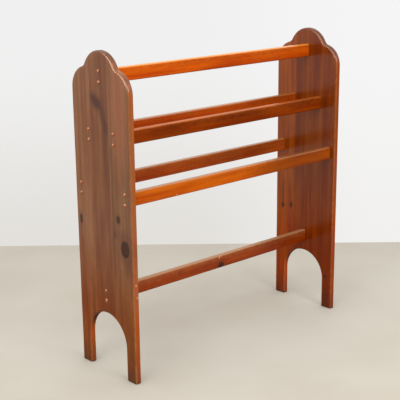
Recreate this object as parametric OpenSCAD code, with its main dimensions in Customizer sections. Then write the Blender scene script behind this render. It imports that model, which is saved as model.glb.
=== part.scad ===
// Free-standing quilt rack: two board-built end panels joined by six rails.
// Each rail end is held by two screws, and each screw is hidden by a domed button plug.
// X runs along the rails, -Y is the front, +Z is up. The origin is on the floor,
// in the middle of the rack. All sizes are in millimetres.

/* [Rack] */
// Height of the end panels
panel_h = 880; // [800:1:1000]
// Depth of the end panels, front to back
panel_d = 240; // [220:1:280]
// Thickness of the end panels
panel_t = 18; // [16:0.5:22]
// Clear distance between the two end panels
rail_span = 772; // [500:1:900]
// Rounding of the panels' edges
panel_round = 5; // [3:0.5:6]

/* [Scalloped top] */
// Radius of the central dome
dome_r = 70; // [60:1:76]
// Radius of each shoulder
shoulder_r = 60; // [50:1:66]
// How far the shoulders' centres lie below the dome's centre
shoulder_drop = 35; // [28:1:42]
// Radius of the notch between the dome and a shoulder
notch_r = 22; // [10:1:30]

/* [Foot arch] */
// Width of each foot, from the arch to the panel's outer edge
foot_w = 40; // [30:1:50]
// Height of the arch's crown above the floor
arch_h = 171; // [120:1:190]

/* [Rails] */
// Height of a rail's section
rail_h = 38; // [32:1:40]
// Depth of a rail's section, front to back
rail_w = 18; // [16:1:22]
// Rounding of a rail's long edges
rail_round = 4; // [2:0.5:5]
// Height of the top rail
top_z = 813; // [790:1:825]
// Height of the upper pair of rails
upper_z = 657; // [620:1:690]
// Height of the lower pair of rails
lower_z = 506; // [460:1:540]
// Height of the bottom rail
bottom_z = 221; // [205:1:260]
// Distance of each upper rail from the middle
upper_y = 52; // [40:1:60]
// Distance of each lower rail from the middle
lower_y = 94; // [80:1:98]

/* [Boards] */
// Left panel: back edge of its front board
left_front_joint = -34; // [-45:1:-20]
// Left panel: front edge of its back board
left_back_joint = 41; // [25:1:45]
// Right panel: back edge of its front board
right_front_joint = -30; // [-45:1:-20]
// Right panel: front edge of its back board
right_back_joint = 43; // [25:1:45]

/* [Screws and plugs] */
// Distance between the two screws in a rail end
screw_gap = 28; // [20:1:28]
// Diameter of a screw's shank
shank_d = 4; // [3.5:0.1:4.5]
// Diameter of a screw's threaded end
thread_d = 3.4; // [3:0.1:3.4]
// Length of a screw under its head
screw_len = 40; // [30:1:50]
// Diameter of a plug's stem and of its hole
stem_d = 9.5; // [9:0.1:10]
// Length of a plug's stem
stem_len = 5.5; // [4:0.5:6]
// Diameter of a plug's dome
dome_d = 12; // [11:0.5:14]
// How far a plug's dome stands out
dome_out = 3.2; // [2:0.1:4]

/* [Hidden] */
$fn = 72;

slack = 1;
half_d = panel_d / 2;
dome_z = panel_h - dome_r;
shoulder_y = half_d - shoulder_r;
shoulder_z = dome_z - shoulder_drop;

// Centre of the notch's circle, which bites a hair into the dome and the shoulder
notch_bite = 0.4;
dome_to_notch = dome_r + notch_r - notch_bite;
shoulder_to_notch = shoulder_r + notch_r - notch_bite;
centres_gap = norm([shoulder_y, shoulder_drop]);
notch_along = (dome_to_notch ^ 2 - shoulder_to_notch ^ 2 + centres_gap ^ 2) / (2 * centres_gap);
notch_across = sqrt(dome_to_notch ^ 2 - notch_along ^ 2);
along = [shoulder_y, -shoulder_drop] / centres_gap;
notch_c = [0, dome_z] + notch_along * along + notch_across * [-along[1], along[0]];

// The arch is a half circle on straight sides
arch_r = half_d - foot_w;
arch_spring = arch_h - arch_r;

// Screw heads sit at the bottom of the plug holes
head_d = 8;
head_h = 2.6;
plug_gap = 0.4;
head_start = stem_len + plug_gap;
plug_hole_depth = head_start + head_h;
shank_room = 0.2;
thread_len = plug_hole_depth + screw_len - panel_t;
tip_len = 5;
tip_d = 0.6;
pilot_spare = 1;
recess_len = 4.6;
recess_w = 0.9;
recess_depth = 1.4;
dome_ball_r = ((dome_d / 2) ^ 2 + dome_out ^ 2) / (2 * dome_out);

BOARD_PALE = [0.60, 0.33, 0.19];
BOARD_MID = [0.53, 0.27, 0.14];
BOARD_DARK = [0.45, 0.21, 0.10];
RAIL_AMBER = [0.76, 0.36, 0.08];
RAIL_RED = [0.55, 0.20, 0.05];
PLUG_TAN = [0.66, 0.38, 0.22];
SCREW_YELLOW = [0.76, 0.68, 0.45];

// Each rail's name, its [distance from the middle, height] and its colour
RAILS = [
    ["top", [0, top_z], RAIL_AMBER],
    ["upper_back", [upper_y, upper_z], RAIL_RED],
    ["upper_front", [-upper_y, upper_z], RAIL_RED],
    ["lower_back", [lower_y, lower_z], RAIL_RED],
    ["lower_front", [-lower_y, lower_z], RAIL_AMBER],
    ["bottom", [0, bottom_z], RAIL_RED]
];
SIDES = [["left", -1], ["right", 1]];

// Turns a panel's own frame, drawn flat, into the rack's: drawn x to Y, drawn y to Z, drawn z to X
module stand_up() rotate([90, 0, 90]) children();

// Section of a solid rim that ends at radius r with rounded edges
module rim_section(r) {
    square_h = panel_t - 2 * panel_round;
    translate([0, -panel_t / 2]) square([r - panel_round, panel_t]);
    translate([0, -square_h / 2]) square([r, square_h]);
    for (s = [-1, 1]) translate([r - panel_round, s * square_h / 2]) circle(panel_round);
}

// Section of the space inside a hole of radius r whose edges are rounded
module hole_section(r) {
    square_h = panel_t - 2 * panel_round;
    difference() {
        translate([0, -panel_t / 2 - slack]) square([r + panel_round, panel_t + 2 * slack]);
        translate([r, -square_h / 2]) square([2 * panel_round, square_h]);
        for (s = [-1, 1]) translate([r + panel_round, s * square_h / 2]) circle(panel_round);
    }
}

// A sector of a turned section about a point, from one angle to another
module sector(at, from, to) {
    translate([at[0], at[1], 0]) rotate([0, 0, from]) rotate_extrude(angle = to - from) children();
}

// Panel below its shoulders, with rounded upright edges
module panel_slab() {
    square_d = panel_d - 2 * panel_round;
    square_t = panel_t - 2 * panel_round;
    translate([0, shoulder_z, 0]) rotate([90, 0, 0]) linear_extrude(shoulder_z) {
        square([square_d, panel_t], center = true);
        square([panel_d, square_t], center = true);
        for (sx = [-1, 1], sy = [-1, 1])
            translate([sx * square_d / 2, sy * square_t / 2]) circle(panel_round);
    }
}

// Wood between the dome and the +x shoulder, with the notch cut out of it
module notch_web() {
    difference() {
        translate([0, 0, -panel_t / 2]) linear_extrude(panel_t)
            polygon([[0, shoulder_z], [shoulder_y, shoulder_z], notch_c, [0, dome_z]]);
        sector(notch_c, 0, 360) hole_section(notch_r);
    }
}

// Space of the foot arch, with rounded edges
module arch_space() {
    translate([0, arch_spring, 0]) rotate([90, 0, 0]) linear_extrude(arch_spring + slack)
        for (s = [0, 1]) mirror([s, 0]) hole_section(arch_r);
    sector([0, arch_spring], 0, 180) hole_section(arch_r);
}

module whole_panel() {
    difference() {
        union() {
            panel_slab();
            for (s = [0, 1]) mirror([s, 0, 0]) {
                sector([shoulder_y, shoulder_z], 0, 180) rim_section(shoulder_r);
                notch_web();
            }
            sector([0, dome_z], 0, 180) rim_section(dome_r);
        }
        arch_space();
    }
}

// Places children at both screws of every rail, on the flat panel
module at_screws() {
    for (r = RAILS, s = [-1, 1]) translate([r[1][0], r[1][1] + s * screw_gap / 2, 0]) children();
}

// Plug hole and screw hole through a panel whose outer face is at +z
module panel_hole() {
    translate([0, 0, panel_t / 2 - plug_hole_depth]) cylinder(d = stem_d, h = plug_hole_depth + slack);
    translate([0, 0, -panel_t / 2 - slack]) cylinder(d = shank_d + shank_room, h = panel_t + slack);
}

// One board of a panel, between two distances from the middle. side is -1 on the left, 1 on the right
module board(side, from, to) {
    translate([side * (rail_span + panel_t) / 2, 0, 0]) stand_up() difference() {
        intersection() {
            whole_panel();
            translate([from, -slack, -panel_t]) cube([to - from, panel_h + 2 * slack, 2 * panel_t]);
        }
        at_screws() mirror([0, 0, side < 0 ? 1 : 0]) panel_hole();
    }
}

module left_front_board() color(BOARD_PALE) board(-1, -half_d - slack, left_front_joint);
module left_middle_board() color(BOARD_DARK) board(-1, left_front_joint, left_back_joint);
module left_back_board() color(BOARD_MID) board(-1, left_back_joint, half_d + slack);
module right_front_board() color(BOARD_DARK) board(1, -half_d - slack, right_front_joint);
module right_middle_board() color(BOARD_MID) board(1, right_front_joint, right_back_joint);
module right_back_board() color(BOARD_PALE) board(1, right_back_joint, half_d + slack);

// Rectangle with round corners
module rail_section() {
    square([rail_w - 2 * rail_round, rail_h], center = true);
    square([rail_w, rail_h - 2 * rail_round], center = true);
    for (sx = [-1, 1], sy = [-1, 1])
        translate([sx * (rail_w / 2 - rail_round), sy * (rail_h / 2 - rail_round)]) circle(rail_round);
}

// A rail with two pilot holes in each end
module rail(r) {
    pilot = thread_len + pilot_spare;
    color(r[2]) translate([0, r[1][0], r[1][1]]) stand_up() difference() {
        translate([0, 0, -rail_span / 2]) linear_extrude(rail_span) rail_section();
        for (s = [-1, 1], e = [0, 1]) translate([0, s * screw_gap / 2, 0]) mirror([0, 0, e])
            translate([0, 0, rail_span / 2 - pilot]) cylinder(d = thread_d, h = pilot + slack);
    }
}

// Places children at both screws of one rail end, with their +z pointing out of the panel
module at_rail_end(r, side) {
    for (s = [-1, 1])
        translate([side * (rail_span / 2 + panel_t), r[1][0], r[1][1] + s * screw_gap / 2])
            rotate([0, side * 90, 0]) children();
}

// Cheese-head wood screw that points down, below a panel's outer face at z = 0
module screw() {
    thread_start = -panel_t;
    thread_end = thread_start - thread_len;
    difference() {
        translate([0, 0, -plug_hole_depth]) cylinder(d = head_d, h = head_h);
        for (a = [0, 90]) rotate([0, 0, a])
            translate([-recess_len / 2, -recess_w / 2, -head_start - recess_depth])
                cube([recess_len, recess_w, recess_depth + slack]);
    }
    translate([0, 0, thread_start]) cylinder(d = shank_d, h = panel_t - plug_hole_depth);
    translate([0, 0, thread_end + tip_len]) cylinder(d = thread_d, h = thread_len - tip_len);
    translate([0, 0, thread_end]) cylinder(d1 = tip_d, d2 = thread_d, h = tip_len);
}

// Button plug with a domed head on a round stem
module plug() {
    rotate_extrude() {
        intersection() {
            translate([0, dome_out - dome_ball_r]) circle(dome_ball_r);
            square([dome_d, dome_out]);
        }
        translate([0, -stem_len]) square([stem_d / 2, stem_len]);
    }
}

module screw_pair(r, side) color(SCREW_YELLOW) at_rail_end(r, side) screw();
module plug_pair(r, side) color(PLUG_TAN) at_rail_end(r, side) plug();

left_front_board();
left_middle_board();
left_back_board();
right_front_board();
right_middle_board();
right_back_board();
for (r = RAILS) rail(r);
for (r = RAILS, s = SIDES)
    screw_pair(r, s[1]);
for (r = RAILS, s = SIDES)
    plug_pair(r, s[1]);
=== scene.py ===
"""Looks of a free-standing quilt rack: stained, lacquered pine boards and rails, with button plugs
and screws.

Metres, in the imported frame's own axes: X runs along the rails, -Y is the front, +Z is up."""
import math

import bmesh
import bpy
import numpy as np
from mathutils import Matrix, Vector, noise
from mathutils.geometry import delaunay_2d_cdt


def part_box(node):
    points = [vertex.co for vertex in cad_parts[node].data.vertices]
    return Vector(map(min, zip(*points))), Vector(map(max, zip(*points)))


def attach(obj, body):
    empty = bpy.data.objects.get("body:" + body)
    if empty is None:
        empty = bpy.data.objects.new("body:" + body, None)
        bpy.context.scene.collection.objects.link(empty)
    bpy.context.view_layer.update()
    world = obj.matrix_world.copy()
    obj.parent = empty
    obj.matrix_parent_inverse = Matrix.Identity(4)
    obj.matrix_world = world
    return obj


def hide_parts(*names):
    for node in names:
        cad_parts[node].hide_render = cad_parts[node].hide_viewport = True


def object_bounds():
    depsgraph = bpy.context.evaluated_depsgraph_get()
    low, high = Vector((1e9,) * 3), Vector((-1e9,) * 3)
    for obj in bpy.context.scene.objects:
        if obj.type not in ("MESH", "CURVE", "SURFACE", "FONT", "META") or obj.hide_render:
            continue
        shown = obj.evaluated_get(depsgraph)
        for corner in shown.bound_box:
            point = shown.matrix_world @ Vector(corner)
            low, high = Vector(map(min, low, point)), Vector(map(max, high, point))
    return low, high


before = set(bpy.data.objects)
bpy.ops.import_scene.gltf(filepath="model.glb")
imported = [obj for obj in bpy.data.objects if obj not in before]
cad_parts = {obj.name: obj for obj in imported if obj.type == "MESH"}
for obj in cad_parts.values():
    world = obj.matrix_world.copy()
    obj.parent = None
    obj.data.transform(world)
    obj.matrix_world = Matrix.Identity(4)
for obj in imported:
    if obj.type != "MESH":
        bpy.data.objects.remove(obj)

MM = 0.001
CAD_LOW, CAD_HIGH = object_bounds()

# ---------------------------------------------------------------- sizes, from the frame

SIDES = {"left": -1, "right": 1}
BOARDS = ["front", "middle", "back"]
RAILS = ["top", "upper_back", "upper_front", "lower_back", "lower_front", "bottom"]


def corners(node):
    """Lowest and highest corner of a CAD node."""
    low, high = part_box(node)
    return Vector(low), Vector(high)


def middle(node):
    low, high = corners(node)
    return (low + high) / 2


BOARD_LOW, BOARD_HIGH = corners("left_front_board")
PLUG_LOW, PLUG_HIGH = corners("top_plugs_right")
PANEL_T = BOARD_HIGH.x - BOARD_LOW.x
HALF_D = -BOARD_LOW.y
PANEL_H = CAD_HIGH.z
HALF_SPAN = corners("top_rail")[1].x
OUTER_X = HALF_SPAN + PANEL_T
PLUG_R = (PLUG_HIGH.y - PLUG_LOW.y) / 2
PLUG_OUT = PLUG_HIGH.x - OUTER_X
SCREW_GAP = PLUG_HIGH.z - PLUG_LOW.z - 2 * PLUG_R

# The rest of the panel's outline
DOME_R = 70 * MM
DOME_Z = PANEL_H - DOME_R
SHOULDER_R = 60 * MM
SHOULDER_DROP = 35 * MM
NOTCH_R = 22 * MM
FOOT_W = 40 * MM
ARCH_H = 171 * MM
ARCH_R = HALF_D - FOOT_W
ARCH_SPRING = ARCH_H - ARCH_R

# Rounded edges: the panel's rims, the ends of the feet, the glue lines and the rails
RIM_R = 5 * MM
RIM_VARIES = 0.45 * MM
RIM_VARIES_OVER = 90 * MM
FOOT_R = 1.6 * MM
FOOT_CORNER = 1.4 * MM
GLUE_R = 0.02 * MM
RAIL_R = 4 * MM
RAIL_R_VARIES = 0.5 * MM
RAIL_R_VARIES_OVER = 60 * MM

# How far a rail strays from straight
RAIL_SWAY = 0.4 * MM
RAIL_SWAYS_OVER = 300 * MM

# Holes for the plugs and the screws
STEM_R = 4.75 * MM
STEM_LEN = 5.5 * MM
PLUG_HOLE_DEPTH = 8.5 * MM
SHANK_R = 2.1 * MM
PILOT_R = 1.7 * MM
PILOT_LEN = 31.9 * MM

# Spacing of points along outlines, over faces and along the rails
ARC_STEP = 2 * MM
LINE_STEP = 5 * MM
FACE_STEP = 8 * MM
RAIL_STEP = 5 * MM

# Number of points round or along each shape
ROUND_STEPS = 9
GLUE_PARTS = 90
HOLE_SIDES = 28
PILOT_SIDES = 16
PLUG_SIDES = 36
PLUG_DOME_STEPS = 9
RAIL_CORNER_STEPS = 6
RAIL_SIDE_STEPS = 8
RAIL_TOP_STEPS = 4

# How many points along an outline its glue line may lie from a board's first or last point
MEET_REACH = 9
# A place outside the panel, for the side of a board that has no glue line
OUTSIDE = 1.0

# Points closer than this are one, and edges turned further than this are sharp
WELD = 0.002 * MM
SHARP_ANGLE = math.radians(38)

# How far the planed faces are from flat, and the size of their waves
CUP = 0.06 * MM
WAVE = 0.09 * MM
WAVE_ACROSS = 110 * MM
WAVE_ALONG = 160 * MM

# Chips: depth and reach as shares of their radius, and how far from one a rail has more points, in mm
CHIP_DEPTH = 0.3
CHIP_REACH = 1.5
CHIP_RINGS = (-3.1, -1.7, -0.4, 0.9, 2.3)

# How pale a rail is painted on its top, stain gone pale with a painted highlight, and on the upper part of
# its sides
TOP_FADED_AND_LIT = 0.85
TOP_FADED_AND_LIT_CURVE = 0.7
SIDE_PALER_UP = 0.32

# ---------------------------------------------------------------- camera, floor and light

CAMERA_AT = Vector((-1.879, -2.010, 1.168))
CAMERA_YAW = math.radians(-42.14)
CAMERA_PITCH = math.radians(15.37)
CAMERA_ROLL = math.radians(-0.59)
# Focal length, in widths of the picture
FOCAL_WIDTHS = 2.449
SENSOR_MM = 36

# How far the floor reaches from the origin, as the camera looks at it
FLOOR_FAR = 0.856
FLOOR_NEAR = 1.7
FLOOR_LEFT = 2.3
FLOOR_RIGHT = 0.95


def make_camera():
    data = bpy.data.cameras.new("camera")
    data.sensor_width = SENSOR_MM
    data.lens = SENSOR_MM * FOCAL_WIDTHS
    camera = bpy.data.objects.new("camera", data)
    turn = Matrix.Rotation(CAMERA_YAW, 4, "Z") @ Matrix.Rotation(math.pi / 2 - CAMERA_PITCH, 4, "X")
    camera.matrix_world = Matrix.Translation(CAMERA_AT) @ turn @ Matrix.Rotation(CAMERA_ROLL, 4, "Z")
    bpy.context.collection.objects.link(camera)
    bpy.context.scene.camera = camera


# ---------------------------------------------------------------- shader graphs


class Graph:
    """Adds shader nodes. A plain number or colour goes straight on the socket."""

    def __init__(self, tree):
        self.tree = tree
        tree.nodes.clear()

    def node(self, kind, inputs, **settings):
        made = self.tree.nodes.new(kind)
        for name, value in settings.items():
            setattr(made, name, value)
        for key, value in inputs.items():
            if isinstance(value, bpy.types.NodeSocket):
                self.tree.links.new(value, made.inputs[key])
            else:
                made.inputs[key].default_value = value
        return made

    def math(self, operation, *values):
        return self.node("ShaderNodeMath", dict(enumerate(values)), operation=operation).outputs[0]

    def add(self, a, b):
        return self.math("ADD", a, b)

    def times(self, a, b):
        return self.math("MULTIPLY", a, b)

    def step(self, value, low, high, start=0.0, end=1.0):
        """start below low, end above high, and a smooth rise between them."""
        inputs = {"Value": value, "From Min": low, "From Max": high, "To Min": start, "To Max": end}
        return self.node("ShaderNodeMapRange", inputs, interpolation_type="SMOOTHSTEP").outputs[0]

    def vector(self, x, y, z):
        return self.node("ShaderNodeCombineXYZ", {0: x, 1: y, 2: z}).outputs[0]

    def parts(self, vector):
        return self.node("ShaderNodeSeparateXYZ", {0: vector}).outputs[:]

    def place(self, vector, at, size, turn=0.0):
        """vector as seen from a frame at a point, turned about Z, with axes of the given sizes."""
        inputs = {"Vector": vector, "Location": at, "Rotation": (0, 0, turn), "Scale": size}
        return self.node("ShaderNodeMapping", inputs, vector_type="TEXTURE").outputs[0]

    def length(self, vector):
        return self.node("ShaderNodeVectorMath", {0: vector}, operation="LENGTH").outputs["Value"]

    def noise(self, vector, size, detail=2.0, roughness=0.5):
        """Noise from 0 to 1 whose features have a size along each axis."""
        scaled = self.place(vector, (0, 0, 0), size)
        inputs = {"Vector": scaled, "Scale": 1.0, "Detail": detail, "Roughness": roughness}
        return self.node("ShaderNodeTexNoise", inputs).outputs[0]

    def waver(self, vector, size, detail):
        """Noise from -0.5 to 0.5."""
        return self.math("SUBTRACT", self.noise(vector, size, detail), 0.5)

    def mix(self, factor, a, b, blend="MIX"):
        made = self.node("ShaderNodeMix", {0: factor, 6: a, 7: b}, data_type="RGBA", blend_type=blend)
        return made.outputs[2]

    def multiply(self, a, b):
        return self.mix(1.0, a, b, "MULTIPLY")

    def place_in_mm(self):
        """The point being shaded, in millimetres, in the rack's own axes."""
        return self.place(self.node("ShaderNodeTexCoord", {}).outputs["Object"], (0, 0, 0), (MM, MM, MM))

    def mark(self):
        """The mark that the mesh's points carry, as Shell describes it."""
        return self.node("ShaderNodeAttribute", {}, attribute_name="mark").outputs["Fac"]

    def bump(self, height, distance):
        inputs = {"Height": height, "Distance": distance, "Strength": 1.0}
        return self.node("ShaderNodeBump", inputs).outputs[0]

    def surface(self, inputs):
        shader = self.node("ShaderNodeBsdfPrincipled", inputs)
        self.node("ShaderNodeOutputMaterial", {"Surface": shader.outputs[0]})


def material(name):
    made = bpy.data.materials.new(name)
    made.use_nodes = True
    return made, Graph(made.node_tree)


def colour(red, green, blue):
    return (red, green, blue, 1.0)


# ---------------------------------------------------------------- the wood
#
# Each board is cut from its own trunk: growth rings run round a pith that lies outside the board
# and leans a little, so faces, edges and end grain all show one solid piece of wood. Grain places
# are in millimetres: across is the depth or height of the piece, along is its length.

# The stain's deep tone, as a share of its pale tone, and the tone of its long dark bands
DEEP_SHARE = (0.66, 0.45, 0.30)
BAND_SHARE = colour(0.78, 0.62, 0.50)
# A dark patch, of stain where resin or a hidden knot took up more and of painted shade at the rails' right
# ends, and a paler one
RESIN_AND_SHADE = colour(0.055, 0.009, 0.002)
PALE_PATCH = colour(0.255, 0.080, 0.031)
# Stain gone pale along the tops of the rails, where the quilts hang, with a painted highlight of the light
# from above
FADED_AND_LIT = (0.27, 0.098, 0.018)
# Stain rubbed thin halfway round the boards' edges, with a painted highlight there, and wood laid bare in
# the chips
RUBBED_AND_SHEEN = colour(0.50, 0.26, 0.14)
BARE_WOOD = colour(0.75, 0.40, 0.16)
# End grain drinks the stain and turns dark
END_GRAIN = colour(0.060, 0.022, 0.010)
# The boards' edges took the stain redder. Painted shade makes the feet deeper and redder, where the room's
# reflection is darker
EDGE_RED = colour(0.27, 0.066, 0.014)
EDGE_BOOST = colour(1.36, 1.06, 0.85)
PAINTED_FOOT_SHADE = colour(1.04, 0.74, 0.32)
# Darker towards the floor, on the feet
LOW_DARK_TONE = colour(0.030, 0.016, 0.010)
KNOT_HEART = colour(0.030, 0.010, 0.005)
KNOT_RING = colour(0.075, 0.017, 0.005)
# Also the dark ring, soiling and painted shade, round each plug's seat
KNOT_BARK_AND_SEAT_SHADE = colour(0.018, 0.007, 0.004)

# How strongly each tone is laid on, from 0 to 1
LATE_STRENGTH = 0.22
BAND_STRENGTH = 0.75
EDGE_STRENGTH = 0.5
END_GRAIN_STRENGTH = 0.85
FADE_AND_LIGHT_STRENGTH = 0.85
RUBBED_AND_SHEEN_STRENGTH = 0.14
LOWEST_DARK_STRENGTH = 0.75
LOW_DARK_STRENGTH = 0.45
CHIP_STRENGTH = 0.7
HALO_STRENGTH = 0.45
KNOT_STRENGTH = 0.92

# Heights above the floor between which the feet's painted shade, the darkening at the very bottom and a
# little higher, and the dull lacquer end, and how far the grain's own wobble moves them, in mm
FOOT_FADES = (140.0, 420.0)
FOOT_RAGGED = 90.0
LOWEST_DARK_FADES = (1.5, 9.0)
LOWEST_DARK_RAGGED = 14.0
LOW_DARK_FADES = (8.0, 90.0)
LOW_DARK_RAGGED = 60.0
DULL_BELOW = (120.0, 470.0)
DULL_RAGGED = 60.0

# How full the lacquer stays at the feet, on end grain, and how much of it a knot loses
DULL_FOOT = 0.30
DULL_END_GRAIN = 0.5
DULL_KNOT = 0.45

# Sizes of the figure in mm: two across the grain and one along it
WOBBLE_SIZE = (9, 9, 14)
WANDER_SIZE = (70, 70, 420)
RIPPLE_SIZE = (14, 14, 110)
BAND_SIZE = (26, 26, 520)
STREAK_SIZE = (13, 13, 330)
FIBRE_SIZE = (0.7, 0.7, 26)
BLOTCH_SIZE = (60, 60, 140)
PEEL_SIZE = (5.5, 5.5, 5.5)

# How far the growth rings wander and ripple, in mm
WANDER = 26.0
RIPPLE = 3.0
# Late wood over a year from 0 to 1, how many years share one strength, and the weakest year
LATE_RISES = (0.30, 0.88)
LATE_FALLS = (0.90, 1.0)
YEARS_ALIKE = 2.2
WEAKEST_YEAR = 0.35
# Share of the tone that the long streaks give, and the rest is blotches
STREAK_PART = 0.7
# How much the fine fibres darken and lighten the wood
FIBRE_SHADE = (0.86, 1.12)

# Knots, in their own half widths: how far they push the grain aside and how fast that falls off,
# how ragged they are, and where the halo, the heart's edge and the line of bark begin and end
KNOT_PUSH = 0.85
KNOT_PUSH_FALLS = 0.4
KNOT_RAGGED = 0.30
KNOT_TURNS = 15.0
HALO_FADES = (1.0, 3.0)
HEART_FADES = (0.90, 1.25)
BARK_RISES = (0.85, 1.08)
BARK_FALLS = (1.08, 1.30)

# Depth of the grain, and of the lacquer over it
GRAIN_RELIEF = 0.05 * MM
LACQUER_RELIEF = 0.02 * MM
LACQUER_ROUGHNESS = 0.20
PLUG_LACQUER_ROUGHNESS = 0.18
LACQUER_IOR = 1.5


class Trunk:
    """How one piece was cut, with lengths in mm.

    tint is the stain's pale tone. pith is where the trunk's centre lies, as (thickness, across), and
    lean is how far it drifts for each mm along. ring is a year's growth. knots are (across, along,
    half width, half length, darkness). stains are the same with an angle in degrees after the
    lengths, and a negative darkness is a paler patch; the dark patch nearest a rail's right end is
    painted shade. chips are bare places as (x, y, z, radius). gloss is how full the lacquer is. The
    tone given last is a rail's top: stain gone pale, with a painted highlight."""

    def __init__(self, tint, pith, lean, ring=3.4, knots=(), stains=(), chips=(), gloss=1.0,
                 faded_lit_top=FADED_AND_LIT):
        self.tint = tint
        self.pith = pith
        self.lean = lean
        self.ring = ring
        self.knots = knots
        self.stains = stains
        self.chips = chips
        self.gloss = gloss
        self.faded_lit_top = faded_lit_top


TRUNKS = {
    "left_front_board": Trunk(
        (0.209, 0.093, 0.0369), (70, -78), (0.03, 0.012), 3.2,
        knots=[(-89, 372, 14.5, 19.5, 1.0), (-63, 448, 6, 9, 0.9), (-48, 404, 4.5, 7, 0.35)],
        stains=[(-98, 326, 14, 26, 20, 0.22), (-101, 560, 9, 150, 0, 0.22), (-108, 84, 8, 60, 0, 0.40),
                (-42, 470, 3.5, 150, 0, 0.40), (-80, 404, 20, 16, 0, 0.25),
                (-78, 735, 27, 120, 0, -0.60)],
        chips=[(-404, -119, 494, 1.5), (-396, -120, 279, 1.9), (-393, -120, 245, 1.5)]),
    "left_middle_board": Trunk(
        (0.182, 0.063, 0.0179), (-95, 20), (-0.02, 0.035), 3.8,
        stains=[(14, 747, 13, 25, -52, 1.0), (14, 747, 8, 16, -52, 0.6), (-21, 620, 7, 95, -2, 0.45),
                (-12, 706, 9, 30, -20, 0.60), (-22, 684, 8, 16, 0, 0.50), (-34, 869, 3, 3, 0, 0.90),
                (-12, 240, 10, 70, 0, 0.25)]),
    "left_back_board": Trunk(
        (0.232, 0.095, 0.0350), (85, 96), (0.025, -0.02), 3.0,
        knots=[(101, 418, 4.5, 11, 1.0)],
        stains=[(104, 372, 3, 40, 0, 0.35), (60, 180, 6, 120, 0, 0.25)]),
    "right_front_board": Trunk(
        (0.201, 0.043, 0.0016), (-75, -70), (0.02, 0.02), 3.4,
        knots=[(-94, 103, 3.5, 5, 0.75)],
        stains=[(-75, 520, 5, 260, 0, 0.30), (-112, 640, 6, 120, 0, 0.25), (-92, 160, 26, 130, 0, 0.20)],
        gloss=0.8),
    "right_middle_board": Trunk(
        (0.206, 0.044, 0.0008), (90, 10), (-0.03, 0.01), 4.0,
        stains=[(5, 430, 3, 330, 0, 0.40), (-26, 470, 4, 260, 0, 0.35), (33, 560, 5, 200, 0, 0.30)],
        gloss=0.8),
    "right_back_board": Trunk(
        (0.302, 0.071, 0.0008), (-80, 78), (0.02, 0.03), 3.3,
        knots=[(90, 305, 4.5, 6.5, 0.85), (55, 311, 4.5, 6.5, 0.85)],
        stains=[(90, 345, 4, 40, 0, 0.40), (57, 352, 4, 38, 0, 0.30)], gloss=0.8),
    # On each rail, the dark patch nearest its right end, by the right panel, is painted shade
    "top_rail": Trunk(
        (0.546, 0.087, 0.0008), (60, 850), (0.01, 0.02), 2.8,
        stains=[(816, 290, 26, 110, 0, 0.12)], faded_lit_top=(0.56, 0.210, 0.018)),
    "upper_back_rail": Trunk(
        (0.388, 0.057, 0.0008), (95, 700), (0.015, -0.02), 3.0,
        stains=[(662, 290, 26, 100, 0, 0.30)]),
    "upper_front_rail": Trunk(
        (0.234, 0.038, 0.0008), (-10, 620), (0.02, 0.01), 3.4,
        stains=[(656, -236, 14, 60, 0, 0.35), (662, 60, 12, 80, 0, 0.30), (668, -20, 8, 190, 0, 0.25),
                (676, 300, 14, 90, 0, 0.50)],
        gloss=0.45, faded_lit_top=(0.38, 0.096, 0.010)),
    "lower_back_rail": Trunk(
        (0.347, 0.067, 0.0071), (20, 560), (-0.02, 0.015), 2.9,
        stains=[(508, 162, 20, 120, 0, 0.30), (506, 310, 26, 80, 0, 0.15)]),
    "lower_front_rail": Trunk(
        (0.554, 0.120, 0.0008), (-60, 470), (0.012, 0.02), 3.1,
        stains=[(500, 250, 34, 150, 0, 0.55)],
        chips=[(-236, -103, 491, 1.5), (-152, -103, 489, 1.3), (-140, -103, 489, 1.0)]),
    "bottom_rail": Trunk(
        (0.269, 0.044, 0.0008), (50, 260), (0.015, -0.015), 3.2,
        knots=[(211, 13, 7, 9, 1.0), (226, -147, 5, 7, 0.25)],
        stains=[(233, 290, 15, 110, 0, 0.30)],
        chips=[(7, -9, 236, 2.2), (14, -8, 238, 1.6)],
        gloss=0.35, faded_lit_top=(0.31, 0.165, 0.080)),
}


def draw_knots(g, trunk, across, along):
    """Bends the grain round each knot. Returns the bent place across, and each knot's distance."""
    bent, knots = across, []
    for at_across, at_along, half_w, half_l, dark in trunk.knots:
        spot = g.place(g.vector(across, along, 0.0), (at_across, at_along, 0), (half_w, half_l, 1))
        distance = g.length(spot)
        push = g.math("EXPONENT", g.times(g.times(distance, distance), -KNOT_PUSH_FALLS))
        bent = g.add(bent, g.times(g.times(g.parts(spot)[0], push), -KNOT_PUSH * half_w))
        knots.append((distance, dark))
    return bent, knots


def colour_knots(g, wood, knots, wobble):
    """A ringed heart inside a line of bark, with a soft halo."""
    for distance, dark in knots:
        edge = g.add(distance, g.times(wobble, KNOT_RAGGED))
        wood = g.mix(g.step(edge, *HALO_FADES, HALO_STRENGTH * dark, 0.0), wood, KNOT_RING)
        rings = g.step(g.math("SINE", g.times(edge, KNOT_TURNS)), -1.0, 1.0, 0.0, 0.45)
        heart = g.mix(rings, KNOT_HEART, KNOT_RING)
        wood = g.mix(g.step(edge, *HEART_FADES, KNOT_STRENGTH * dark, 0.0), wood, heart)
        bark = g.times(g.step(edge, *BARK_RISES), g.step(edge, *BARK_FALLS, dark, 0.0))
        wood = g.mix(bark, wood, KNOT_BARK_AND_SEAT_SHADE)
    return wood


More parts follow.
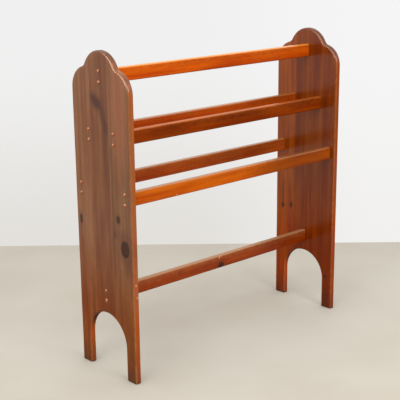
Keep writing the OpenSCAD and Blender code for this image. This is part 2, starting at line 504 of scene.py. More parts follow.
def colour_stains(g, wood, trunk, across, along, wobble):
    """Soft darker and paler patches. The dark ones at the rails' right ends are painted shade."""
    face = g.vector(across, along, 0.0)
    for at_across, at_along, half_w, half_l, angle, dark in trunk.stains:
        spot = g.place(face, (at_across, at_along, 0), (half_w, half_l, 1), math.radians(angle))
        edge = g.add(g.length(spot), g.times(wobble, 0.8))
        tone = RESIN_AND_SHADE if dark > 0 else PALE_PATCH
        wood = g.mix(g.step(edge, 0.5, 1.8, abs(dark), 0.0), wood, tone)
    return wood


def colour_chips(g, wood, trunk, place, wobble):
    """Bare wood where a chip is gone, nearly twice as long up and down as it is wide."""
    for x, y, z, radius in trunk.chips:
        edge = g.length(g.place(place, (x, y, z), (radius, radius, 1.8 * radius)))
        edge = g.add(edge, g.times(wobble, 2.0))
        wood = g.mix(g.step(edge, 0.6, 1.2, CHIP_STRENGTH, 0.0), wood, BARE_WOOD)
    return wood


def end_grain(g, wobble):
    """1 where a board's surface lies across the grain, and 0 where it follows it."""
    normal = g.node("ShaderNodeNewGeometry", {}).outputs["Normal"]
    upright = g.math("ABSOLUTE", g.parts(normal)[2])
    return g.step(g.add(upright, g.times(wobble, 0.3)), 0.12, 0.65)


def age_board(g, wood, along, wobble):
    """Redder edges, painted shade on the feet, dark end grain, darker low down, and rubbed edges with a
    painted highlight.
    """
    mark = g.mark()

    def below(fades, ragged, strength):
        """strength low down on the board, and 0 above the fade."""
        return g.step(g.add(along, g.times(wobble, ragged)), *fades, strength, 0.0)

    red = g.mix(EDGE_STRENGTH, g.multiply(wood, EDGE_BOOST), EDGE_RED)
    wood = g.mix(g.step(g.add(mark, g.times(wobble, 0.3)), 0.35, 0.85), wood, red)
    wood = g.mix(g.times(end_grain(g, wobble), END_GRAIN_STRENGTH), wood, END_GRAIN)
    # Painted shade: the feet deeper and redder, where the room's reflection is darker
    wood = g.mix(below(FOOT_FADES, FOOT_RAGGED, 1.0), wood, g.multiply(wood, PAINTED_FOOT_SHADE))
    # Darker at the very bottom of the feet, and less so a little way up
    lowest_dark = below(LOWEST_DARK_FADES, LOWEST_DARK_RAGGED, LOWEST_DARK_STRENGTH)
    low_dark = below(LOW_DARK_FADES, LOW_DARK_RAGGED, LOW_DARK_STRENGTH)
    wood = g.mix(g.math("MAXIMUM", lowest_dark, low_dark), wood, LOW_DARK_TONE)
    # Stain rubbed thin halfway round each edge, with a painted highlight there
    halfway = g.math("SINE", g.times(mark, math.pi))
    return g.mix(g.step(g.add(halfway, wobble), 0.50, 1.05, 0.0, RUBBED_AND_SHEEN_STRENGTH), wood, RUBBED_AND_SHEEN)


def fade_and_light_rail(g, wood, faded_lit_top, wobble):
    """Paler where the mark says: stain gone pale with a painted highlight on top, and paler up the sides.
    """
    share = g.step(g.add(g.mark(), g.times(wobble, 0.4)), 0.0, 0.85, 0.0, FADE_AND_LIGHT_STRENGTH)
    return g.mix(share, wood, colour(*faded_lit_top))


def lacquer(g, trunk, grain_axis, along, knots, wobble):
    """How full the gloss coat is: thin over knots and end grain, and dull towards a board's feet."""
    full = trunk.gloss
    if grain_axis == "Z":
        height = g.add(along, g.times(wobble, DULL_RAGGED))
        full = g.times(g.step(height, *DULL_BELOW, DULL_FOOT, 1.0), full)
        full = g.times(g.math("MULTIPLY_ADD", end_grain(g, wobble), DULL_END_GRAIN - 1.0, 1.0), full)
    for distance, dark in knots:
        full = g.times(g.step(distance, 0.8, 1.3, 1.0 - DULL_KNOT * dark, 1.0), full)
    return full


def growth_rings(g, trunk, thick, bent, along, moved, shift):
    """1 in the dark late wood of a strong year, less in a weak one, and 0 in early wood."""
    off_thick = g.math("SUBTRACT", thick, g.math("MULTIPLY_ADD", along, trunk.lean[0], trunk.pith[0]))
    off_across = g.math("SUBTRACT", bent, g.math("MULTIPLY_ADD", along, trunk.lean[1], trunk.pith[1]))
    radius = g.length(g.vector(off_thick, off_across, 0.0))
    radius = g.add(radius, g.times(g.waver(moved, WANDER_SIZE, 1.0), WANDER))
    radius = g.add(radius, g.times(g.waver(moved, RIPPLE_SIZE, 2.0), RIPPLE))
    turns = g.math("DIVIDE", radius, trunk.ring)
    year = g.math("FRACT", turns)
    late = g.times(g.step(year, *LATE_RISES), g.step(year, *LATE_FALLS, 1.0, 0.0))
    vigour = g.noise(g.vector(turns, shift, 0.0), (YEARS_ALIKE, 1, 1), 1.0)
    return g.times(late, g.step(vigour, 0.25, 0.75, WEAKEST_YEAR, 1.0))


def stained(g, trunk, flow, moved, late, fibre):
    """The stain's colour: streaks and blotches, long bands, late wood and fine fibres."""
    pale = colour(*trunk.tint)
    deep = colour(*(tone * share for tone, share in zip(trunk.tint, DEEP_SHARE)))
    streak = g.times(g.noise(flow, STREAK_SIZE, 3.0, 0.55), STREAK_PART)
    blotch = g.times(g.noise(moved, BLOTCH_SIZE, 2.0), 1.0 - STREAK_PART)
    wood = g.mix(g.step(g.add(streak, blotch), 0.34, 0.66), deep, pale)
    band = g.step(g.noise(flow, BAND_SIZE, 2.0), 0.35, 0.68, 0.0, BAND_STRENGTH)
    wood = g.mix(band, wood, g.multiply(wood, BAND_SHARE))
    wood = g.mix(g.times(late, LATE_STRENGTH), wood, g.mix(0.5, deep, KNOT_RING))
    shade = g.step(fibre, 0.25, 0.75, *FIBRE_SHADE)
    return g.multiply(wood, g.node("ShaderNodeCombineColor", {0: shade, 1: shade, 2: shade}).outputs[0])


def pine(name, trunk, grain_axis, shift):
    """Stained pine under gloss lacquer. shift moves the noise, so that no two pieces match."""
    made, g = material(name + "_pine")
    place = g.place_in_mm()
    x, y, z = g.parts(place)
    thick, across, along = (x, y, z) if grain_axis == "Z" else (y, z, x)
    moved = g.vector(g.add(thick, shift), g.add(across, 2 * shift), g.add(along, 3 * shift))
    wobble = g.waver(moved, WOBBLE_SIZE, 3.0)
    bent, knots = draw_knots(g, trunk, across, along)
    flow = g.vector(g.add(thick, shift), g.add(bent, shift), along)
    fibre = g.noise(flow, FIBRE_SIZE, 2.0, 0.6)
    late = growth_rings(g, trunk, thick, bent, along, moved, shift)

    wood = stained(g, trunk, flow, moved, late, fibre)
    if grain_axis == "Z":
        wood = age_board(g, wood, along, wobble)
    else:
        # Rails get paler tops, stain gone pale with a painted highlight, and paler upper sides
        wood = fade_and_light_rail(g, wood, trunk.faded_lit_top, wobble)
    wood = colour_stains(g, wood, trunk, across, along, wobble)
    wood = colour_knots(g, wood, knots, wobble)
    wood = colour_chips(g, wood, trunk, place, wobble)

    # The lacquer levels most of the grain, and has its own faint orange peel
    relief = g.add(g.times(late, 0.6), g.times(fibre, 0.4))
    film = g.add(g.times(g.noise(place, PEEL_SIZE, 1.0), 0.6), g.times(relief, 0.25))
    g.surface({
        "Base Color": wood,
        "Roughness": g.step(fibre, 0.2, 0.8, 0.42, 0.58),
        "Specular IOR Level": 0.0,
        "Normal": g.bump(relief, GRAIN_RELIEF),
        "Coat Weight": lacquer(g, trunk, grain_axis, along, knots, wobble),
        "Coat Roughness": LACQUER_ROUGHNESS,
        "Coat IOR": LACQUER_IOR,
        "Coat Normal": g.bump(film, LACQUER_RELIEF)})
    return made


# ---------------------------------------------------------------- plugs and screws

PLUG_PALE = colour(0.36, 0.115, 0.030)
PLUG_DEEP = colour(0.20, 0.055, 0.012)
PLUG_DARK = colour(0.17, 0.042, 0.010)
STEEL_YELLOW = colour(0.62, 0.47, 0.20)
STEEL_PALE = colour(0.74, 0.66, 0.44)
STEEL_DULL = colour(0.30, 0.27, 0.22)


def plug_wood():
    """Turned pine button: straight fine grain under the same lacquer, and a dark ring of soiling and
    painted shade round its seat.
    """
    made, g = material("plug_pine")
    place = g.place_in_mm()
    x, y, z = g.parts(place)
    each = g.noise(place, (60, 21, 17), 0.0)
    slant = g.add(g.times(y, 0.75), g.times(z, 0.55))
    lines = g.noise(g.vector(g.times(x, 0.2), slant, g.times(each, 9.0)), (1, 1.1, 3), 3.0)
    wood = g.mix(g.step(lines, 0.35, 0.68), PLUG_DEEP, PLUG_PALE)
    wood = g.mix(g.step(each, 0.35, 0.65, 0.0, 0.35), wood, PLUG_DARK)
    # A dark ring round the seat: soiling and painted shade where the button meets the board
    wood = g.mix(g.times(g.mark(), 0.55), wood, KNOT_BARK_AND_SEAT_SHADE)
    g.surface({
        "Base Color": wood,
        "Roughness": 0.45,
        "Specular IOR Level": 0.0,
        "Normal": g.bump(lines, 0.04 * MM),
        "Coat Weight": 0.8,
        "Coat Roughness": PLUG_LACQUER_ROUGHNESS,
        "Coat IOR": LACQUER_IOR,
        "Coat Normal": g.bump(g.noise(place, (3, 3, 3), 1.0), 0.01 * MM)})
    return made


def screw_steel():
    """Yellow passivated steel, with the tint uneven and a little dulled."""
    made, g = material("screw_steel")
    place = g.place_in_mm()
    tint = g.noise(place, (2.2, 2.2, 2.2), 3.0)
    dull = g.noise(place, (0.5, 0.5, 0.5), 2.0)
    metal = g.mix(g.step(tint, 0.35, 0.65), STEEL_YELLOW, STEEL_PALE)
    metal = g.mix(g.step(dull, 0.55, 0.75, 0.0, 0.5), metal, STEEL_DULL)
    g.surface({
        "Base Color": metal,
        "Metallic": 1.0,
        "Roughness": g.step(dull, 0.2, 0.8, 0.28, 0.50),
        "Normal": g.bump(dull, 0.02 * MM)})
    return made


# ---------------------------------------------------------------- meshes


class Shell:
    """Gathers the points and faces of one piece. Each point has a mark from 0 to 1 that the
    material reads: how far round a board's edge it is, how pale a rail is painted, with a painted
    highlight on top, and how dark a plug's seat is, with soiling and painted shade."""

    def __init__(self):
        self.points = []
        self.faces = []
        self.marks = []

    def ring(self, points, marks=0.0):
        """Adds points, with one mark for all or a list of marks, and returns their indices."""
        start = len(self.points)
        self.points.extend(Vector(p) for p in points)
        self.marks.extend(marks if isinstance(marks, list) else [marks] * len(points))
        return list(range(start, len(self.points)))

    def skirt(self, first, second):
        """Faces between two rings that have as many points."""
        for i, point in enumerate(first):
            after = (i + 1) % len(first)
            self.faces.append((point, first[after], second[after], second[i]))

    def skirts(self, rings):
        for first, second in zip(rings, rings[1:]):
            self.skirt(first, second)

    def fan(self, ring, tip):
        """Faces from a ring to a point."""
        centre = self.ring([tip])[0]
        for i, point in enumerate(ring):
            self.faces.append((point, ring[(i + 1) % len(ring)], centre))

    def cap(self, outer, holes, spacing):
        """Fills a ring that lies across X, less its holes, with even triangles."""
        flat = [Vector((self.points[i].y, self.points[i].z)) for i in outer]
        area = sum(a.x * b.y - b.x * a.y for a, b in zip(flat, flat[1:] + flat[:1]))
        if area < 0:
            outer, flat = outer[::-1], flat[::-1]
        known = outer + [i for hole in holes for i in hole]
        places = flat + [Vector((self.points[i].y, self.points[i].z)) for i in known[len(outer):]]
        edges, start = [], len(outer)
        for hole in holes:
            edges += [(start + i, start + (i + 1) % len(hole)) for i in range(len(hole))]
            start += len(hole)
        inside = even_points(places, spacing)
        made = delaunay_2d_cdt(places + inside, edges, [list(range(len(outer)))], 1, 1e-9)
        cut = [hole_circle(self.points, hole) for hole in holes]
        x, number = self.points[outer[0]].x, {}
        for face in made[2]:
            centre = sum((made[0][i] for i in face), Vector((0, 0))) / len(face)
            if any((centre - at).length < radius for at, radius in cut):
                continue
            self.faces.append(tuple(self.cap_point(made, i, known, number, x) for i in face))

    def cap_point(self, made, corner, known, number, x):
        """Index of a corner of a filled cap, which is a ring's own point or a new one."""
        source = min(made[3][corner])
        if source < len(known):
            return known[source]
        if corner not in number:
            place = made[0][corner]
            number[corner] = self.ring([(x, place.x, place.y)])[0]
        return number[corner]

    def piece(self, name, node, made_material, slot):
        """Makes the object, which rides on the rack and stands for a CAD node."""
        mesh = bpy.data.meshes.new(name)
        mesh.from_pydata(self.points, [], self.faces)
        sheet = bmesh.new()
        sheet.from_mesh(mesh)
        layer = sheet.verts.layers.float.new("mark")
        for vertex, mark in zip(sheet.verts, self.marks):
            vertex[layer] = mark
        bmesh.ops.remove_doubles(sheet, verts=sheet.verts, dist=WELD)
        bmesh.ops.recalc_face_normals(sheet, faces=sheet.faces)
        sheet.to_mesh(mesh)
        sheet.free()
        mesh.shade_smooth()
        mesh.set_sharp_from_angle(angle=SHARP_ANGLE)
        mesh.materials.append(made_material)
        made = bpy.data.objects.new(name, mesh)
        bpy.context.collection.objects.link(made)
        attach(made, "root")
        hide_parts(node)
        return made


def hole_circle(points, ring):
    """Centre and radius of a ring of points round a hole."""
    places = [Vector((points[i].y, points[i].z)) for i in ring]
    centre = sum(places, Vector((0, 0))) / len(places)
    return centre, (places[0] - centre).length


def even_points(border, spacing):
    """Rows of evenly spaced points, none of them close to the border's points."""
    edge = np.array([tuple(p) for p in border])
    low, high = edge.min(axis=0), edge.max(axis=0)
    clear = 0.6 * spacing
    rows = np.arange(low[1], high[1], spacing * math.sqrt(0.75))
    found = []
    for count, z in enumerate(rows):
        row_y = np.arange(low[0] + (count % 2) * spacing / 2, high[0], spacing)
        row = np.column_stack([row_y, np.full(len(row_y), z)])
        gap = np.linalg.norm(row[:, None, :] - edge[None, :, :], axis=2).min(axis=1)
        found += [Vector(p) for p in row[gap > clear]]
    return found


def wave(x, y, z):
    """Smooth noise from 0 to 1."""
    return 0.5 + 0.5 * noise.noise(Vector((x, y, z)))


def arc(centre, radius, start, end, spacing=ARC_STEP):
    """Points on an arc between two angles in radians, both ends included."""
    count = max(2, math.ceil(abs(end - start) * radius / spacing))
    angles = [start + (end - start) * i / count for i in range(count + 1)]
    return [Vector((centre.x + radius * math.cos(a), centre.y + radius * math.sin(a))) for a in angles]


def line(start, end, spacing=LINE_STEP):
    """Points along a line, without its end."""
    count = max(1, math.ceil((end - start).length / spacing))
    return [start.lerp(end, i / count) for i in range(count)]


def notch_centre(dome, shoulder):
    """Centre of the circle that touches the dome and the shoulder from outside."""
    gap = shoulder - dome
    to_dome, to_shoulder = DOME_R + NOTCH_R, SHOULDER_R + NOTCH_R
    along = (to_dome ** 2 - to_shoulder ** 2 + gap.length ** 2) / (2 * gap.length)
    across = math.sqrt(to_dome ** 2 - along ** 2)
    heading = gap.normalized()
    return dome + along * heading + across * Vector((-heading.y, heading.x))


def angle_of(vector):
    return math.atan2(vector.y, vector.x)


def panel_outline():
    """The end panel's outline in (y, z), anticlockwise. Each point comes with the kind of edge
    that follows it: rim, foot or corner."""
    dome = Vector((0, DOME_Z))
    shoulder = Vector((HALF_D - SHOULDER_R, DOME_Z - SHOULDER_DROP))
    notch = notch_centre(dome, shoulder)
    rise = angle_of(notch - shoulder)
    turn = angle_of(notch - dome)
    side = line(Vector((HALF_D, FOOT_CORNER)), Vector((HALF_D, shoulder.y)))
    side += arc(shoulder, SHOULDER_R, 0, rise)[:-1]
    side += arc(notch, NOTCH_R, rise + math.pi, turn + math.pi, ARC_STEP / 2)[:-1]
    half_dome = arc(dome, DOME_R, turn, math.pi / 2)
    right = side + half_dome
    left = [Vector((-p.x, p.y)) for p in reversed(right[:-1])]
    spring = Vector((0, ARCH_SPRING))
    inner = line(Vector((-ARCH_R, FOOT_CORNER)), Vector((-ARCH_R, ARCH_SPRING)))
    inner += arc(spring, ARCH_R, math.pi, 0)
    inner += line(Vector((ARCH_R, ARCH_SPRING)), Vector((ARCH_R, FOOT_CORNER)))[1:]
    inner.append(Vector((ARCH_R, FOOT_CORNER)))

    loop = [(p, "rim") for p in right + left]
    loop[-1] = (loop[-1][0], "corner")
    loop += foot_end(-HALF_D, -ARCH_R)
    loop += [(p, "rim") for p in inner]
    loop[-1] = (loop[-1][0], "corner")
    loop += foot_end(ARCH_R, HALF_D)
    return loop


def foot_end(start_y, end_y):
    """The flat end of a foot, from the end of one corner to the start of the next."""
    places = line(Vector((start_y + FOOT_CORNER, 0)), Vector((end_y - FOOT_CORNER, 0)))
    return [(p, "foot") for p in places] + [(Vector((end_y - FOOT_CORNER, 0)), "corner")]


def rim_radius(point):
    """The rims were rounded by hand, so their radius varies a little."""
    swing = 2 * wave(point.x / RIM_VARIES_OVER, point.y / RIM_VARIES_OVER, 3.1) - 1
    return RIM_R + RIM_VARIES * swing


def round_inset(depth, radius):
    """How far a rounded edge has drawn in at a depth below the face."""
    if depth >= radius:
        return 0.0
    return radius - math.sqrt(radius ** 2 - (radius - depth) ** 2)


class Outline:
    """The end panel's outline, drawn in by its own amount on each edge."""

    def __init__(self):
        loop = panel_outline()
        self.points = [p for p, kind in loop]
        self.kinds = [kind for p, kind in loop]
        after = self.points[1:] + self.points[:1]
        heading = [(b - a).normalized() for a, b in zip(self.points, after)]
        self.inward = [Vector((-h.y, h.x)) for h in heading]
        self.radii = [FOOT_R if kind == "foot" else rim_radius(p) for p, kind in loop]

    def drawn_in(self, depth):
        """The outline at a depth below the face, as (y, z)."""
        insets = [round_inset(depth, r) for r in self.radii]
        for i, kind in enumerate(self.kinds):
            if kind == "corner":
                insets[i] = (insets[i - 1] + insets[(i + 1) % len(insets)]) / math.sqrt(2)
        return [p + self.mitre(i, insets) for i, p in enumerate(self.points)]

    def mitre(self, i, insets):
        """How far a point moves so that both edges beside it are drawn in."""
        first, second = self.inward[i - 1], self.inward[i]
        a, b = insets[i - 1], insets[i]
        cross = first.x * second.y - first.y * second.x
        nearly_in_line = abs(cross) < 0.2
        if nearly_in_line:
            return (first + second).normalized() * (a + b) / 2
        return Vector((a * second.y - b * first.y, first.x * b - second.x * a)) / cross

    def turned(self, depth):
        """How far round the edge each point is at a depth: 0 on the face and 1 on the edge."""
        left = [math.asin(min(1.0, max(0.0, 1 - depth / radius))) for radius in self.radii]
        return [1 - angle / (math.pi / 2) for angle in left]


class Board:
    """The part of the panel between two glue lines, which follow y = low and y = high."""

    def __init__(self, outline, low, high):
        self.outline = outline
        self.low = low if low > -HALF_D else -OUTSIDE
        self.high = high if high < HALF_D else OUTSIDE
        count = len(outline.points)
        inside = [self.low < p.x < self.high for p in outline.points]
        self.runs = []
        for start in (i for i in range(count) if inside[i] and not inside[i - 1]):
            run = [start]
            while inside[(run[-1] + 1) % count]:
                run.append((run[-1] + 1) % count)
            self.runs.append(run)

    def meet(self, places, near, cut):
        """Where a drawn-in outline crosses a glue line, close to one of its points."""
        count = len(places)
        for offset in sorted(range(-MEET_REACH, MEET_REACH + 1), key=abs):
            a, b = places[(near + offset) % count], places[(near + offset + 1) % count]
            if (a.x - cut) * (b.x - cut) <= 0 and a.x != b.x:
                return a.lerp(b, (cut - a.x) / (b.x - a.x))
        raise ValueError("the outline does not reach its glue line")

    def ring(self, depth):
        """(y, z) of the board's outline at a depth below the face, and each point's mark."""
        places, turned = self.outline.drawn_in(depth), self.outline.turned(depth)
        gap = round_inset(depth, GLUE_R)
        low, high = self.low + gap, self.high - gap
        ends = []
        for run in self.runs:
            pair = []
            for inner, outer in ((run[0], run[0] - 1), (run[-1], run[-1] + 1)):
                beyond = self.outline.points[outer % len(places)]
                pair.append(self.meet(places, inner, low if beyond.x <= self.low else high))
            ends.append(pair)
        points, marks = [], []
        for i, run in enumerate(self.runs):
            start, end = ends[i]
            points.append(start)
            marks.append(turned[run[0]])
            for index in run:
                beyond = not low <= places[index].x <= high
                nearest = min((start, end), key=lambda corner: (corner - places[index]).length)
                points.append(nearest if beyond else places[index])
                marks.append(turned[index])
            next_start = ends[(i + 1) % len(ends)][0]
            points += [end.lerp(next_start, part / GLUE_PARTS) for part in range(GLUE_PARTS)]
            marks += [turned[run[-1]]] + [0.0] * (len(points) - len(marks) - 1)
        return points, marks


def plug_centres():
    """(y, z) of every plug on a panel."""
    found = []
    for rail in RAILS:
        at = middle(rail + "_rail")
        found += [Vector((at.y, at.z + s * SCREW_GAP / 2)) for s in (-1, 1)]
    return found


def circle(x, centre, radius, sides=HOLE_SIDES):
    """Ring of points round an axis along X."""
    angles = [2 * math.pi * i / sides for i in range(sides)]
    return [(x, centre.x + radius * math.cos(a), centre.y + radius * math.sin(a)) for a in angles]


def settle_face(shell, side, low_y, high_y):
    """Cups the board and waves the panel's faces by a hair, always into the wood."""
    half_w, mid_y = (high_y - low_y) / 2, (high_y + low_y) / 2
    for point in shell.points:
        depth_out = side * (side * OUTER_X - point.x)
        near_outer = depth_out < PANEL_T / 2
        depth = depth_out if near_outer else PANEL_T - depth_out
        weight = max(0.0, 1 - 2 * depth / PANEL_T)
        cup = CUP * max(0.0, 1 - ((point.y - mid_y) / half_w) ** 2)
        each_face = 5.3 + 7 * near_outer + side
        swell = WAVE * wave(point.y / WAVE_ACROSS, point.z / WAVE_ALONG, each_face)
        inwards = -side if near_outer else side
        point.x += inwards * weight * (cup + swell)


def dent(shell, chips):
    """Presses the chips into the surface, towards the line through the middle of the piece."""
    low = Vector(map(min, *shell.points))
    high = Vector(map(max, *shell.points))
    heart = (low + high) / 2
    longest = max(range(3), key=lambda axis: high[axis] - low[axis])
    for x, y, z, radius in chips:
        at, reach = Vector((x, y, z)) * MM, CHIP_REACH * radius * MM
        for point in shell.points:
            share = (point - at).length / reach
            if share < 1:
                towards = heart - point
                towards[longest] = 0.0
                point += towards.normalized() * CHIP_DEPTH * radius * MM * (1 - share ** 2) ** 2


def board_shell(outline, side, low_y, high_y, chips):
    """One board of an end panel, with its plug holes and screw holes."""
    board, shell = Board(outline, low_y, high_y), Shell()
    deepest = RIM_R + RIM_VARIES
    depths = [deepest * (1 - math.sin(math.pi / 2 * i / ROUND_STEPS)) for i in range(ROUND_STEPS + 1)]
    levels = [(side * (OUTER_X - d), d) for d in reversed(depths)]
    levels += [(side * (HALF_SPAN + d), d) for d in depths]
    rings = []
    for x, depth in levels:
        places, marks = board.ring(depth)
        rings.append(shell.ring([(x, p.x, p.y) for p in places], marks))
    shell.skirts(rings)
    centres = [centre for centre in plug_centres() if low_y < centre.x < high_y]
    bores = [board_bore(shell, side, centre) for centre in centres]
    shell.cap(rings[0], [bore[0] for bore in bores], FACE_STEP)
    shell.cap(rings[-1], [bore[-1] for bore in bores], FACE_STEP)
    settle_face(shell, side, low_y, high_y)
    dent(shell, chips)
    return shell


def board_bore(shell, side, centre):
    """A plug hole that narrows to a screw hole, through the panel."""
    floor_x = side * (OUTER_X - PLUG_HOLE_DEPTH)
    rings = [
        shell.ring(circle(side * OUTER_X, centre, STEM_R)),
        shell.ring(circle(floor_x, centre, STEM_R)),
        shell.ring(circle(floor_x, centre, SHANK_R)),
        shell.ring(circle(side * HALF_SPAN, centre, SHANK_R))]
    shell.skirts(rings)
    return rings


def rail_fade_and_light(angle, height):
    """How pale a rail's surface is painted, from the way it faces and its height above the middle, as a
    share of half the rail's height: most on top, where the stain is gone pale with a painted highlight,
    and a little on the upper part of the sides."""
    top = TOP_FADED_AND_LIT * max(0.0, math.sin(angle)) ** TOP_FADED_AND_LIT_CURVE
    side = SIDE_PALER_UP * max(0.0, (1 + height) / 2) ** 2
    return max(top, side)


def unit(angle):
    return Vector((math.cos(angle), math.sin(angle)))


def rail_ring(x, centre, half_w, half_h, seed):
    """Section of a rail at x: points and their marks. The seed makes each rail's edges its own."""
    points, marks = [], []
    stray = Vector([wave(x / RAIL_SWAYS_OVER, seed, other) - 0.5 for other in (0, 9)])
    hub = centre + stray * RAIL_SWAY

    def place(point, angle):
        points.append((x, point.x, point.y))
        marks.append(rail_fade_and_light(angle, (point.y - centre.y) / half_h))

    for corner, (sy, sz) in enumerate([(1, -1), (1, 1), (-1, 1), (-1, -1)]):
        swing = 2 * wave(x / RAIL_R_VARIES_OVER, corner * 3.7, seed) - 1
        radius = RAIL_R + RAIL_R_VARIES * swing
        at = hub + Vector((sy * (half_w - radius), sz * (half_h - radius)))
        start = (corner - 1) * math.pi / 2
        for i in range(RAIL_CORNER_STEPS + 1):
            angle = start + i * math.pi / 2 / RAIL_CORNER_STEPS
            place(at + radius * unit(angle), angle)
        on_side = corner % 2 == 0
        steps = RAIL_SIDE_STEPS if on_side else RAIL_TOP_STEPS
        flat_run = 2 * ((half_h if on_side else half_w) - RAIL_R)
        heading = Vector((-math.sin(angle), math.cos(angle)))
        for i in range(1, steps):
            place(at + radius * unit(angle) + heading * flat_run * i / steps, angle)
    return points, marks


def rail_shell(node, chips, seed):
    """One rail, with two pilot holes in each end."""
    low, high = corners(node)
    centre = Vector(((low.y + high.y) / 2, (low.z + high.z) / 2))
    half_w, half_h = (high.y - low.y) / 2, (high.z - low.z) / 2
    count = math.ceil((high.x - low.x) / RAIL_STEP)
    places = [low.x + (high.x - low.x) * i / count for i in range(count + 1)]
    for chip in chips:
        places += [chip[0] * MM + offset * MM for offset in CHIP_RINGS]
    shell = Shell()
    rings = [shell.ring(*rail_ring(x, centre, half_w, half_h, seed)) for x in sorted(places)]
    shell.skirts(rings)
    for end, ring in ((low.x, rings[0]), (high.x, rings[-1])):
        inwards = 1 if end < 0 else -1
        mouths = [pilot_hole(shell, end, inwards, centre + Vector((0, s * SCREW_GAP / 2))) for s in (-1, 1)]
        shell.cap(ring, mouths, FACE_STEP / 2)
    dent(shell, chips)
    return shell


def pilot_hole(shell, end, inwards, centre):
    """A hole with a pointed foot in the end of a rail. Returns its mouth."""
    mouth = shell.ring(circle(end, centre, PILOT_R, PILOT_SIDES))
    foot = shell.ring(circle(end + inwards * PILOT_LEN, centre, PILOT_R, PILOT_SIDES))
    shell.skirt(mouth, foot)
    shell.fan(foot, (end + inwards * (PILOT_LEN + PILOT_R), centre.x, centre.y))
    return mouth


def plug_profile():
    """(radius, height, mark) down the plug from its dome to its stem; the mark darkens the seat with
    soiling and painted shade.
    """
    ball = (PLUG_R ** 2 + PLUG_OUT ** 2) / (2 * PLUG_OUT)
    reach = math.asin(PLUG_R / ball)
    dome = []
    for i in range(1, PLUG_DOME_STEPS):
        angle = reach * i / PLUG_DOME_STEPS
        dome.append((ball * math.sin(angle), PLUG_OUT - ball * (1 - math.cos(angle)), 0.0))
    rim = [(PLUG_R - 0.20 * MM, 0.42 * MM, 0.3), (PLUG_R - 0.03 * MM, 0.18 * MM, 0.9)]
    seat = [(PLUG_R - 0.05 * MM, -0.10 * MM, 1.0), (STEM_R, -0.16 * MM, 1.0)]
    stem = [(STEM_R, 0.7 * MM - STEM_LEN, 0.0), (STEM_R - 0.6 * MM, -STEM_LEN, 0.0)]
    return dome + rim + seat + stem


def plug_shell(rail, side):
    """The two button plugs at one end of a rail."""
    shell = Shell()
    at = middle(rail + "_rail")
    for s in (-1, 1):
        centre = Vector((at.y, at.z + s * SCREW_GAP / 2))
        rings = []
        for radius, height, mark in plug_profile():
            x = side * (OUTER_X + height)
            rings.append(shell.ring(circle(x, centre, radius, PLUG_SIDES), mark))
        shell.fan(rings[0], (side * (OUTER_X + PLUG_OUT), centre.x, centre.y))
        shell.skirts(rings)
        shell.fan(rings[-1], (side * (OUTER_X - STEM_LEN), centre.x, centre.y))
    return shell


# ---------------------------------------------------------------- putting the rack together

BOARD_SLOTS = {
    "left_front_board": "board_pale", "right_back_board": "board_pale",
    "left_back_board": "board_mid", "right_middle_board": "board_mid",
    "left_middle_board": "board_dark", "right_front_board": "board_dark",
}
RAIL_SLOTS = {"top": "rail_amber", "lower_front": "rail_amber"}


def make_boards():
    outline = Outline()
    for side_name, side in SIDES.items():
        for i, board in enumerate(BOARDS):
            node = f"{side_name}_{board}_board"
            low, high = corners(node)
            trunk = TRUNKS[node]
            shell = board_shell(outline, side, low.y, high.y, trunk.chips)
            wood = pine(node, trunk, "Z", 137.0 * (i + 1) + 61.0 * side)
            shell.piece(node + "_wood", node, wood, BOARD_SLOTS[node])


def make_rails():
    for i, rail in enumerate(RAILS):
        node = rail + "_rail"
        trunk = TRUNKS[node]
        shell = rail_shell(node, trunk.chips, 2.3 * i)
        wood = pine(node, trunk, "X", 211.0 + 83.0 * i)
        shell.piece(node + "_wood", node, wood, RAIL_SLOTS.get(rail, "rail_red"))


def make_plugs_and_screws():
    wood, steel = plug_wood(), screw_steel()
    for rail in RAILS:
        for side_name, side in SIDES.items():
            node = f"{rail}_plugs_{side_name}"
            plug_shell(rail, side).piece(f"{rail}_buttons_{side_name}", node, wood, "plug")
            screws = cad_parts[f"{rail}_screws_{side_name}"]
            for slot in screws.material_slots:
                slot.material = steel


# ---------------------------------------------------------------- floor and light

FLOOR_DEEP = colour(0.325, 0.300, 0.260)
FLOOR_PALE = colour(0.355, 0.335, 0.295)
# The wall as seen, low and high, on the left and on the right: painted shade makes it darker low down and
# on the left
WALL_LEFT = colour(0.765, 0.745, 0.710), colour(0.871, 0.871, 0.869)
WALL_RIGHT = colour(0.880, 0.873, 0.858), colour(0.915, 0.915, 0.915)
# The direction along the wall from left to right
ALONG_WALL = (0.74, -0.67)
LIGHT_COLOUR = colour(1.0, 0.985, 0.96)
FLOOR_LIGHT = colour(1.0, 0.90, 0.74)
GLINT_COLOUR = colour(1.0, 0.64, 0.45)
# How bright the room is in front, behind the rack, on the floor as a share of that, and overhead
DIM_LEVEL = 0.08
WALL_LEVEL = 0.90
FLOOR_SHARE = 0.75
CEILING_LEVEL = 1.70

# Lights: where each is, what it is aimed at, its width or (width, height), and its power in watts
FRONT_LIGHT = ((-0.2, -3.0, 2.2), (0, 0, 0.45), 1.6, 78)
WINDOW_LIGHT = ((-2.05, -0.75, 2.2), (-0.4, 0, 0.7), 1.8, 29)
GLINT_LIGHT = ((-2.45, 0.8, 1.55), (-0.4, 0, 0.8), (1.6, 1.5), 100)


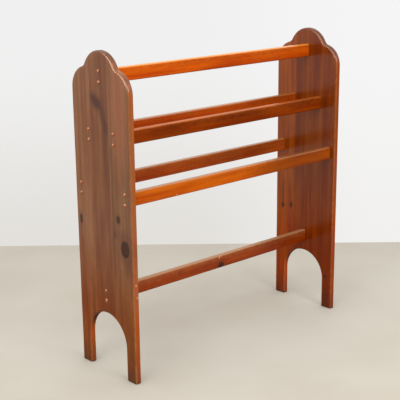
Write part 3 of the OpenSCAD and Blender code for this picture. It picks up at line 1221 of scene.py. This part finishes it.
def make_floor():
    """A plain pale floor that ends where the wall begins."""
    made, g = material("floor_plaster")
    place = g.node("ShaderNodeTexCoord", {}).outputs["Object"]
    patch = g.noise(place, (0.5, 0.5, 0.5), 3.0)
    tone = g.mix(g.step(patch, 0.3, 0.7), FLOOR_DEEP, FLOOR_PALE)
    g.surface({"Base Color": tone, "Roughness": 0.85, "Specular IOR Level": 0.1})
    away = Vector((-math.sin(CAMERA_YAW), math.cos(CAMERA_YAW), 0))
    aside = Vector((away.y, -away.x, 0))
    edges = [(-FLOOR_NEAR, -FLOOR_LEFT), (-FLOOR_NEAR, FLOOR_RIGHT), (FLOOR_FAR, FLOOR_RIGHT),
             (FLOOR_FAR, -FLOOR_LEFT)]
    mesh = bpy.data.meshes.new("floor")
    mesh.from_pydata([away * a + aside * b for a, b in edges], [], [(0, 1, 2, 3)])
    mesh.materials.append(made)
    floor = bpy.data.objects.new("floor", mesh)
    bpy.context.collection.objects.link(floor)


def make_world():
    """Soft room light: bright behind the rack and overhead, dim in front. Seen directly it is a pale wall
    with painted shade, darker low down and on the left.
    """
    world = bpy.data.worlds.new("studio")
    world.use_nodes = True
    bpy.context.scene.world = world
    g = Graph(world.node_tree)
    x, y, z = g.parts(g.node("ShaderNodeTexCoord", {}).outputs["Generated"])
    above = g.step(z, -0.25, 0.0)
    wall = g.times(g.step(y, -0.30, 0.35, 0.0, WALL_LEVEL), g.step(above, 0.0, 1.0, FLOOR_SHARE, 1.0))
    ceiling = g.step(z, 0.10, 0.45, 0.0, CEILING_LEVEL)
    level = g.math("MAXIMUM", g.math("MAXIMUM", wall, ceiling), DIM_LEVEL)
    tone = g.mix(above, FLOOR_LIGHT, LIGHT_COLOUR)
    room = g.node("ShaderNodeBackground", {"Color": tone, "Strength": level}).outputs[0]

    # The backdrop seen directly, with painted shade: darker low down and on the left
    rise = g.step(z, -0.31, -0.12)
    across = g.step(g.add(g.times(x, ALONG_WALL[0]), g.times(y, ALONG_WALL[1])), -0.02, 0.18)
    wall_seen = g.mix(across, g.mix(rise, *WALL_LEFT), g.mix(rise, *WALL_RIGHT))
    plain = g.node("ShaderNodeBackground", {"Color": wall_seen, "Strength": 1.0}).outputs[0]
    seen = g.node("ShaderNodeLightPath", {}).outputs["Is Camera Ray"]
    both = g.node("ShaderNodeMixShader", {0: seen, 1: room, 2: plain}).outputs[0]
    g.node("ShaderNodeOutputWorld", {"Surface": both})


def soft_light(name, at, aim, size, power, tone=LIGHT_COLOUR):
    """A disc, or a rectangle where size is a pair."""
    data = bpy.data.lights.new(name, "AREA")
    if isinstance(size, tuple):
        data.shape = "RECTANGLE"
        data.size, data.size_y = size
    else:
        data.shape = "DISK"
        data.size = size
    data.energy = power
    data.color = tone[:3]
    light = bpy.data.objects.new(name, data)
    towards = Vector(aim) - Vector(at)
    light.matrix_world = Matrix.Translation(at) @ towards.to_track_quat("-Z", "Y").to_matrix().to_4x4()
    light.visible_camera = False
    bpy.context.collection.objects.link(light)
    return light


def make_light():
    """The room, two soft lights, and one that only the lacquer mirrors, on the rims and the plugs."""
    make_world()
    soft_light("front_light", *FRONT_LIGHT)
    soft_light("window_light", *WINDOW_LIGHT)
    glint = soft_light("glint_light", *GLINT_LIGHT, GLINT_COLOUR)
    glint.visible_diffuse = False
    bpy.context.scene.view_settings.view_transform = "Standard"


make_camera()
make_boards()
make_rails()
make_plugs_and_screws()
make_floor()
make_light()
